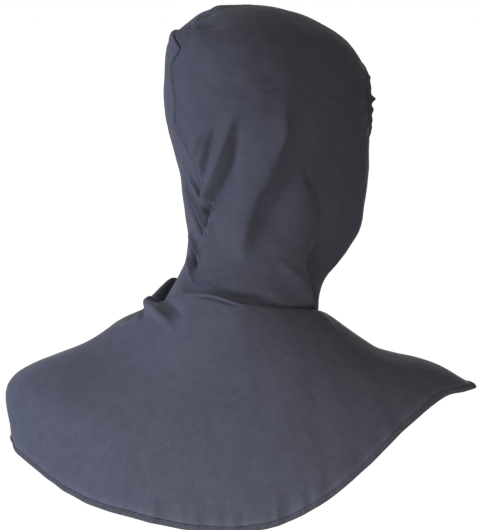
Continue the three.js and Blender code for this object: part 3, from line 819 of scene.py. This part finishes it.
def hem_stitches(name):
    """The thread over the hem, with every stitch a short closed tube."""
    fine = np.linspace(0, FULL_TURN, 4 * CAPE_COLUMNS + 1)
    run = run_along(hem_frame(fine)[0])
    count = int(run[-1] / STITCH_RUN)
    bearing = np.interp(np.arange(count) * run[-1] / count, run, fine)
    centre, down, around, normal = (part[:, None, None] for part in hem_frame(bearing))
    below, off, along = (column[None, :, None, None] for column in STITCH_LINE.values())
    line = centre + down * below + normal * off + around * along
    turn = (2 * np.pi * np.arange(STITCH_SIDES) / STITCH_SIDES)[None, None, :, None]
    points = line + (around * np.cos(turn) + normal * np.sin(turn)) * STITCH_RADIUS
    grid = points.shape[:3]
    each = grid[1] * grid[2]
    one = stitch_faces(grid[1])
    faces = [[point + n * each for point in face] for n in range(count) for face in one]
    length = run[-1] * bearing[:, None, None] / FULL_TURN
    uv = np.stack([np.broadcast_to(length, grid), np.broadcast_to(below[..., 0], grid)], -1)
    return mesh_object(name, points.reshape(-1, 3), faces, uv.reshape(-1, 2), np.zeros(count * each))


# Eye casing

def eye_casing(name):
    """The gathered casing round the eye opening, a closed ring."""
    angle = 2 * np.pi * np.arange(CASING_STEPS) / CASING_STEPS
    section = closed_curve(np.stack(list(CASING_SECTION.values()), 1), CASING_ROUND)
    inset, proud, ruffled = (section[None, :, k] for k in range(len(CASING_SECTION)))
    ruffle = gathered(np.degrees(angle))[:, None]
    aside = (EYE_HALF_WIDTH - inset) * np.sin(angle)[:, None]
    above = (EYE_HALF_HEIGHT - inset) * np.cos(angle)[:, None]
    points = eye_point(aside, above) + FACING * (proud + ruffle * ruffled)[..., None]
    sides = len(section)
    run = angle[:, None] * (EYE_HALF_WIDTH + EYE_HALF_HEIGHT) / 2
    uv = np.stack([np.repeat(run, sides, 1), np.repeat(inset, CASING_STEPS, 0)], -1)
    wear = np.repeat(np.exp(-((inset - CASING_WEAR_AT) / CASING_WEAR) ** 2), CASING_STEPS, 0)
    faces = tube_faces(CASING_STEPS, sides).tolist()
    return mesh_object(name, points.reshape(-1, 3), faces, uv.reshape(-1, 2), wear.ravel())


# Materials

KNIT_SHADER = {
    "Specular IOR Level": 0.2,
    "Sheen Weight": 0.12,
    "Sheen Roughness": 0.5,
    "Sheen Tint": (0.75, 0.82, 1.0, 1),
}
STREAK_STRETCH = (90, 170, 1)
STREAK_NOISE = {"Scale": 1.0, "Detail": 4.0, "Roughness": 0.55}
HEATHER_NOISE = {"Scale": 700.0, "Detail": 2.0, "Roughness": 0.6}
CLOUD_NOISE = {"Scale": 45.0, "Detail": 3.0, "Roughness": 0.5}
CRUMPLE_NOISE = {"Scale": 55.0, "Detail": 4.0, "Roughness": 0.55}
STREAK_SHARE = 0.5
HEATHER_SHARE = 0.2
CLOUD_SHARE = 0.3
DARK_AT = 0.25  # where the darkest and the lightest shade lie on the ramp
LIGHT_AT = 0.75
DARK_SHADE = 0.78  # shades against the tone
LIGHT_SHADE = 1.22
WORN_SHADE = 1.5
KNIT_ROUGHNESS = {"To Min": 0.8, "To Max": 0.98}
WALE = 0.0011  # width of a knit loop, in metres
COURSE = 0.0009  # height of a knit loop, in metres
LOOP_BUMP = {"Strength": 0.15, "Distance": 0.0003}
CRUMPLE_BUMP = {"Strength": 0.25, "Distance": 0.004}
HOOD_TONE = (0.085, 0.087, 0.117)
CAPE_TONE = (0.089, 0.092, 0.125)
TRIM_TONE = (0.078, 0.081, 0.106)
STITCH_TONE = (0.15, 0.155, 0.185)


def set_inputs(node, values):
    for key, value in values.items():
        node.inputs[key].default_value = value


def math_node(tree, operation, *values):
    """Output of a new math node: a number is set on its input, and an output of another node is linked."""
    node = tree.nodes.new("ShaderNodeMath")
    node.operation = operation
    for socket, value in zip(node.inputs, values):
        if isinstance(value, (int, float)):
            socket.default_value = value
        else:
            tree.links.new(value, socket)
    return node.outputs[0]


def fed_node(tree, kind, socket, source, values):
    """New node with the given input values, and one input linked to another node's output."""
    node = tree.nodes.new(kind)
    set_inputs(node, values)
    tree.links.new(source, node.inputs[socket])
    return node


def shaded(tone, shade):
    return (*[shade * part for part in tone], 1)


def knit_colour(tree, tone, streaks, heather, cloud):
    """Colour of the knit: shades of a tone from the three noises, and lighter where the cloth is worn."""
    value = math_node(tree, "MULTIPLY", streaks, STREAK_SHARE)
    value = math_node(tree, "MULTIPLY_ADD", heather, HEATHER_SHARE, value)
    value = math_node(tree, "MULTIPLY_ADD", cloud, CLOUD_SHARE, value)
    ramp = fed_node(tree, "ShaderNodeValToRGB", "Fac", value, {})
    dark, light = ramp.color_ramp.elements
    dark.position = DARK_AT
    dark.color = shaded(tone, DARK_SHADE)
    light.position = LIGHT_AT
    light.color = shaded(tone, LIGHT_SHADE)
    worn = tree.nodes.new("ShaderNodeAttribute")
    worn.attribute_name = "wear"
    lighter = tree.nodes.new("ShaderNodeMix")
    lighter.data_type = "RGBA"
    lighter.inputs["B"].default_value = shaded(tone, WORN_SHADE)
    tree.links.new(math_node(tree, "MULTIPLY", worn.outputs["Fac"], streaks), lighter.inputs["Factor"])
    tree.links.new(ramp.outputs["Color"], lighter.inputs["A"])
    return lighter.outputs["Result"]


def knit_loops(tree, flat):
    """Height of the knit's loops: wales in the first direction of the flat cut, courses in the second."""
    split = fed_node(tree, "ShaderNodeSeparateXYZ", "Vector", flat, {})
    wale = math_node(tree, "PINGPONG", math_node(tree, "MULTIPLY", split.outputs["X"], 2 / WALE), 1.0)
    slant = math_node(tree, "MULTIPLY", wale, math.pi)
    course = math_node(tree, "MULTIPLY_ADD", split.outputs["Y"], 2 * math.pi / COURSE, slant)
    return math_node(tree, "MULTIPLY", math_node(tree, "SINE", course), wale)


def knit(name, tone):
    """Knit cloth of a tone, with streaks, heather, worn edges, loops and a fine crumple."""
    material = bpy.data.materials.new(name)
    material.use_nodes = True
    tree = material.node_tree
    shader = tree.nodes["Principled BSDF"]
    set_inputs(shader, KNIT_SHADER)

    uv_map = tree.nodes.new("ShaderNodeUVMap")
    uv_map.uv_map = "flat_cut"
    flat = uv_map.outputs["UV"]
    stretch = fed_node(tree, "ShaderNodeMapping", "Vector", flat, {"Scale": STREAK_STRETCH})
    solid = tree.nodes.new("ShaderNodeTexCoord").outputs["Object"]

    def noise(source, values):
        return fed_node(tree, "ShaderNodeTexNoise", "Vector", source, values).outputs["Fac"]

    streaks = noise(stretch.outputs["Vector"], STREAK_NOISE)
    heather = noise(flat, HEATHER_NOISE)
    cloud = noise(solid, CLOUD_NOISE)
    crumple = noise(solid, CRUMPLE_NOISE)
    rough = fed_node(tree, "ShaderNodeMapRange", "Value", heather, KNIT_ROUGHNESS)
    loops = fed_node(tree, "ShaderNodeBump", "Height", knit_loops(tree, flat), LOOP_BUMP)
    bump = fed_node(tree, "ShaderNodeBump", "Height", crumple, CRUMPLE_BUMP)
    tree.links.new(loops.outputs["Normal"], bump.inputs["Normal"])
    tree.links.new(knit_colour(tree, tone, streaks, heather, cloud), shader.inputs["Base Color"])
    tree.links.new(rough.outputs["Result"], shader.inputs["Roughness"])
    tree.links.new(bump.outputs["Normal"], shader.inputs["Normal"])
    return material


hood_knit = knit("hood_knit", HOOD_TONE)
cape_knit = knit("cape_knit", CAPE_TONE)
trim_knit = knit("trim_knit", TRIM_TONE)
stitch_thread = knit("stitch_thread", STITCH_TONE)


# Pieces

def place(piece, material, node):
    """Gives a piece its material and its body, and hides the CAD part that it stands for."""
    piece.data.materials.append(material)
    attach(piece, "root")
    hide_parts(node)
    return piece


hood_right = place(hood_panel("hood_right_cloth", 1), hood_knit, "hood_right")
hood_left = place(hood_panel("hood_left_cloth", -1), hood_knit, "hood_left")
cape = place(shoulder_cape("cape_cloth"), cape_knit, "cape")
hem = place(hem_band("cape_hem_band"), trim_knit, "cape_hem")
stitches = hem_stitches("hem_stitches")
stitches.data.materials.append(stitch_thread)
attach(stitches, "root")
casing = place(eye_casing("eye_casing"), trim_knit, "eye_band")

# Camera, in metres

CAMERA_DISTANCE = 2.6
CAMERA_ELEVATION = math.radians(6)
CAMERA_TARGET = Vector((0.0058, 0.020, -0.2465))
PIXELS_PER_METRE = 1040.0
FRAME_HEIGHT = 530.0  # pixels
SENSOR = 36.0  # millimetres
FARTHEST = 400.0

camera = bpy.data.objects.new("camera", bpy.data.cameras.new("camera"))
camera.data.sensor_width = SENSOR
camera.data.lens = SENSOR * PIXELS_PER_METRE * CAMERA_DISTANCE / FRAME_HEIGHT
camera.data.clip_end = FARTHEST
behind = Vector((0, math.cos(CAMERA_ELEVATION), math.sin(CAMERA_ELEVATION)))
camera.location = CAMERA_TARGET + behind * CAMERA_DISTANCE
camera.rotation_mode = "QUATERNION"
camera.rotation_quaternion = (-behind).to_track_quat("-Z", "Y")
bpy.context.collection.objects.link(camera)
bpy.context.scene.camera = camera

# Floor, in metres: pale, lit from within, and not lighting the cloth

FLOOR_HEIGHT = -1.0
FLOOR_HALF = 60.0
FLOOR_CORNERS = ((-1, -1), (1, -1), (1, 1), (-1, 1))
FLOOR_SHADER = {
    "Base Color": (0.85, 0.85, 0.86, 1),
    "Roughness": 0.9,
    "Emission Color": (1, 1, 1, 1),
    "Emission Strength": 0.72,
}

floor_mesh = bpy.data.meshes.new("floor")
floor_points = [(x * FLOOR_HALF, y * FLOOR_HALF, FLOOR_HEIGHT) for x, y in FLOOR_CORNERS]
floor_mesh.from_pydata(floor_points, [], [range(len(floor_points))])
floor_paint = bpy.data.materials.new("floor_paint")
floor_paint.use_nodes = True
set_inputs(floor_paint.node_tree.nodes["Principled BSDF"], FLOOR_SHADER)
floor_mesh.materials.append(floor_paint)
floor = bpy.data.objects.new("floor", floor_mesh)
floor.visible_diffuse = False
floor.visible_glossy = False
bpy.context.collection.objects.link(floor)

# World: white where the camera sees it, and a warm light on the cloth that grows from the horizon to the top

SKY_LIGHT = (1.1, 1.0, 0.88, 1)
SKY_STRENGTH = {"From Min": 0.0, "From Max": 1.0, "To Min": 0.02, "To Max": 0.6}
BACKDROP = {"Color": (1, 1, 1, 1), "Strength": 1.0}

world = bpy.data.worlds.new("studio")
bpy.context.scene.world = world
world.use_nodes = True
sky = world.node_tree
ambient = sky.nodes["Background"]
ambient.inputs["Color"].default_value = SKY_LIGHT
direction = sky.nodes.new("ShaderNodeTexCoord").outputs["Generated"]
parts = fed_node(sky, "ShaderNodeSeparateXYZ", "Vector", direction, {})
rising = fed_node(sky, "ShaderNodeMapRange", "Value", parts.outputs["Z"], SKY_STRENGTH)
sky.links.new(rising.outputs["Result"], ambient.inputs["Strength"])
backdrop = sky.nodes.new("ShaderNodeBackground")
set_inputs(backdrop, BACKDROP)
seen = sky.nodes.new("ShaderNodeLightPath").outputs["Is Camera Ray"]
choice = fed_node(sky, "ShaderNodeMixShader", "Fac", seen, {})
sky.links.new(ambient.outputs["Background"], choice.inputs[1])
sky.links.new(backdrop.outputs["Background"], choice.inputs[2])
sky.links.new(choice.outputs["Shader"], sky.nodes["World Output"].inputs["Surface"])

# Lights, in metres and watts

LIGHT_AIM = Vector((0.0, 0.02, -0.3))
LIGHTS = [
    dict(name="side_light", at=(1.37, 0.62, -0.2), size=(0.6, 0.8), power=14.5, colour=(0.88, 0.98, 1.18)),
    dict(name="low_light", at=(0.0, 0.75, -0.75), size=(0.5, 0.3), power=3.6, colour=(1.02, 1.0, 1.0)),
    dict(name="front_light", at=(-0.3, -2.0, -0.15), size=(1.2, 1.2), power=22.0, colour=(1.0, 1.0, 1.02)),
    dict(name="front_fill", at=(1.1, -1.3, -0.2), size=(1.0, 1.0), power=8.0, colour=(0.98, 0.97, 1.06)),
]


def area_light(name, at, size, power, colour):
    data = bpy.data.lights.new(name, "AREA")
    data.shape = "RECTANGLE"
    data.size, data.size_y = size
    data.energy = power
    data.color = colour
    made = bpy.data.objects.new(name, data)
    made.location = at
    made.rotation_mode = "QUATERNION"
    made.rotation_quaternion = (LIGHT_AIM - Vector(at)).to_track_quat("-Z", "Y")
    made.visible_camera = False
    bpy.context.collection.objects.link(made)


for light in LIGHTS:
    area_light(**light)

bpy.context.scene.view_settings.view_transform = "Standard"
